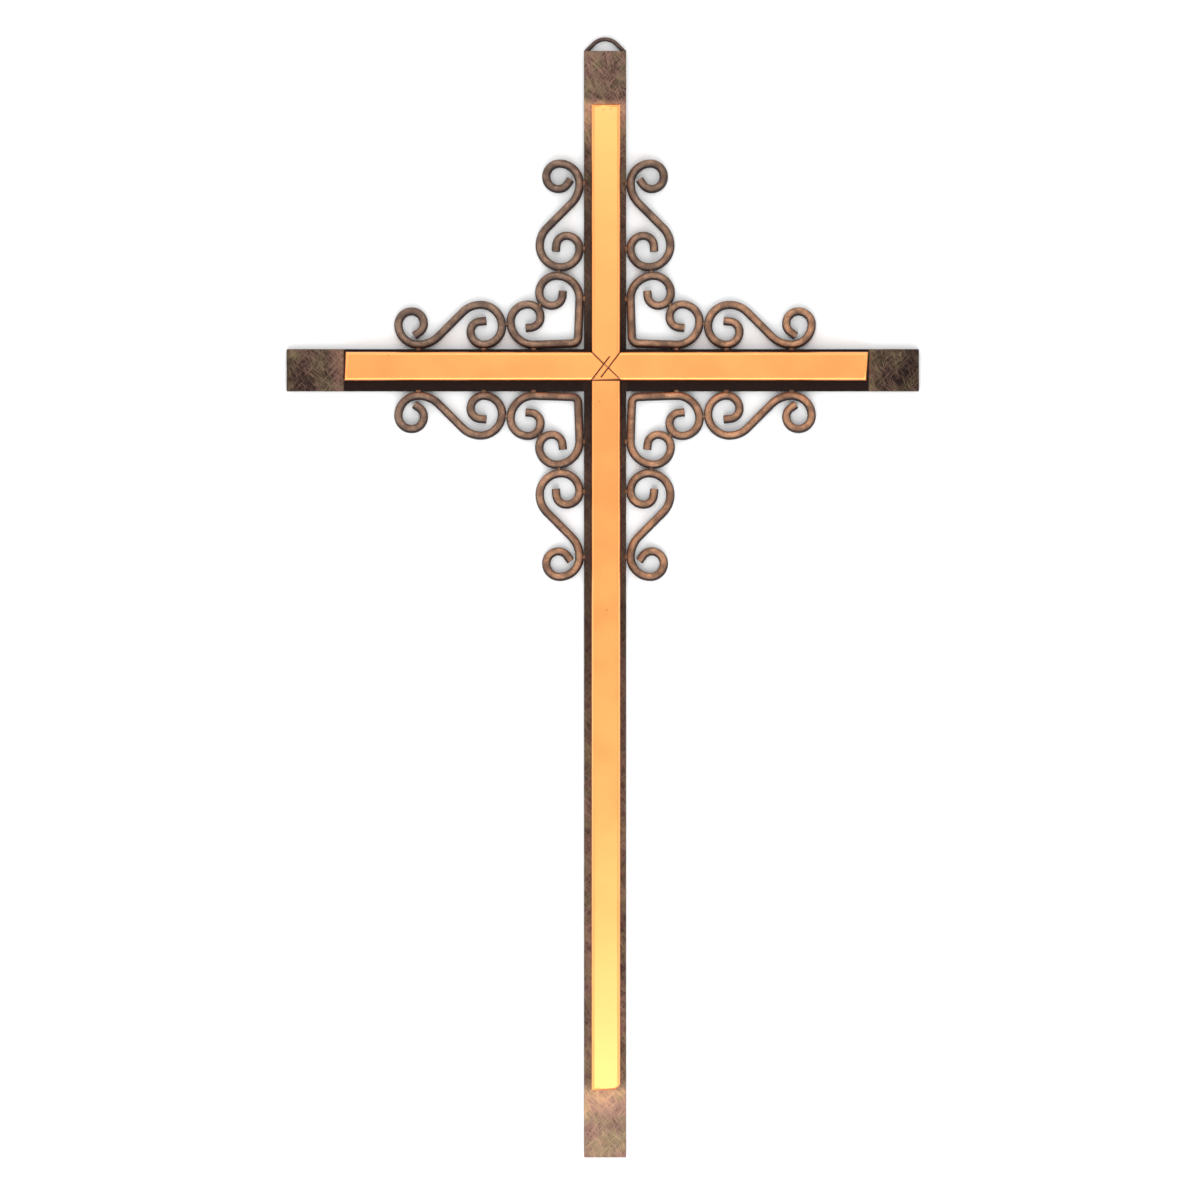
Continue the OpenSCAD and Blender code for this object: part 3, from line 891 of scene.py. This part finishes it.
# %% Put up the wall and lay the floor
STAGE_HALF = 2.0
WALL_CLEARANCE = 0.3 * MM
FLOOR_DROP = 0.25
FLOOR_Z = cad_low.z - FLOOR_DROP
wall_face = wall_y + WALL_CLEARANCE
stage_plane("wall", [(-STAGE_HALF, wall_face, FLOOR_Z), (STAGE_HALF, wall_face, FLOOR_Z),
                     (STAGE_HALF, wall_face, STAGE_HALF), (-STAGE_HALF, wall_face, STAGE_HALF)],
            stage_white(hidden_from_behind=True))
stage_plane("floor", [(-STAGE_HALF, -STAGE_HALF, FLOOR_Z), (STAGE_HALF, -STAGE_HALF, FLOOR_Z),
                      (STAGE_HALF, STAGE_HALF, FLOOR_Z), (-STAGE_HALF, STAGE_HALF, FLOOR_Z)],
            stage_white(hidden_from_behind=False))

# %% Pale sky
SKY_AS_LAMP = 0.62
SKY_AS_SEEN = 1.0

sky = bpy.data.worlds.new("pale sky")
bpy.context.scene.world = sky
sky.use_nodes = True
tree = sky.node_tree
tree.nodes.clear()
rays = add_node(tree, "LightPath")
seen = calculate(tree, "MAXIMUM", rays.outputs["Is Camera Ray"], rays.outputs["Is Glossy Ray"])
seen = calculate(tree, "MAXIMUM", seen, rays.outputs["Is Transmission Ray"])
background = add_node(tree, "Background", Color=(1, 1, 1, 1),
                      Strength=ease(tree, seen, 0.0, 1.0, SKY_AS_LAMP, SKY_AS_SEEN))
add_node(tree, "OutputWorld", Surface=background.outputs[0])

# %% [markdown]
# Four soft panels stand round the cross like the sides of a light box, so that
# the folds of the strips shine along all their edges. Two small panels in front,
# one high and one low, brighten the strips towards their ends: satin copper
# shows a lamp best where its light comes almost straight back.

# %% Soft lamps
middle = Vector((0, 0, (cad_low.z + cad_high.z) / 2))


def soft_lamp(name, place, aim, width, height, power):
    light = bpy.data.lights.new(name, "AREA")
    light.shape = "RECTANGLE"
    light.size = width
    light.size_y = height
    light.energy = power
    lamp = bpy.data.objects.new(name, light)
    bpy.context.scene.collection.objects.link(lamp)
    lamp.location = place
    lamp.rotation_euler = (Vector(place) - aim).to_track_quat("Z", "Y").to_euler()
    lamp.visible_camera = False


PANEL_X, PANEL_Y = 0.95, -0.35
PANEL_RISE, PANEL_FALL, UPPER_LEFT_SHIFT = 0.85, 0.46, 0.15
PANEL_LENGTH, SIDE_WIDTH, UPPER_WIDTH, LOWER_WIDTH = 1.2, 0.5, 0.5, 0.4
LEFT_WATTS, RIGHT_WATTS, UPPER_WATTS, LOWER_WATTS = 3.5, 3, 2.6, 3.5
FRONT_Y, HIGH_Z, LOW_Z, FRONT_SIZE = -0.75, 0.14, -0.64, 0.3
HIGH_WATTS, LOW_WATTS = 0.9, 1.2

soft_lamp("left panel", (-PANEL_X, PANEL_Y, middle.z), middle,
          SIDE_WIDTH, PANEL_LENGTH, LEFT_WATTS)
soft_lamp("right panel", (PANEL_X, PANEL_Y, middle.z), middle,
          SIDE_WIDTH, PANEL_LENGTH, RIGHT_WATTS)
soft_lamp("upper panel", (-UPPER_LEFT_SHIFT, PANEL_Y, middle.z + PANEL_RISE), middle,
          PANEL_LENGTH, UPPER_WIDTH, UPPER_WATTS)
soft_lamp("lower panel", (0.0, PANEL_Y, middle.z - PANEL_FALL), middle,
          PANEL_LENGTH, LOWER_WIDTH, LOWER_WATTS)
soft_lamp("high front", (0.0, FRONT_Y, HIGH_Z), Vector((0, 0, strip_top)),
          FRONT_SIZE, FRONT_SIZE, HIGH_WATTS)
soft_lamp("low front", (0.0, FRONT_Y, LOW_Z), Vector((0, 0, strip_foot)),
          FRONT_SIZE, FRONT_SIZE, LOW_WATTS)

# %% [markdown]
# ## Camera
# A long lens straight in front keeps the bars parallel. Its distance follows
# from the width that the picture shows at the front of the cross.

# %% Place the camera
PICTURE_WIDTH = 569.2 * MM
PICTURE_X, PICTURE_Z = -2.4 * MM, -265.1 * MM
LENS = 200.0

camera_data = bpy.data.cameras.new("camera")
camera_data.lens = LENS
distance = PICTURE_WIDTH * LENS / camera_data.sensor_width
camera = bpy.data.objects.new("camera", camera_data)
bpy.context.scene.collection.objects.link(camera)
camera.location = (PICTURE_X, front_y - distance, PICTURE_Z)
camera.rotation_euler = (math.pi / 2, 0, 0)
bpy.context.scene.camera = camera
bpy.context.scene.view_settings.view_transform = "Standard"
print("camera distance, m:", round(distance, 2))
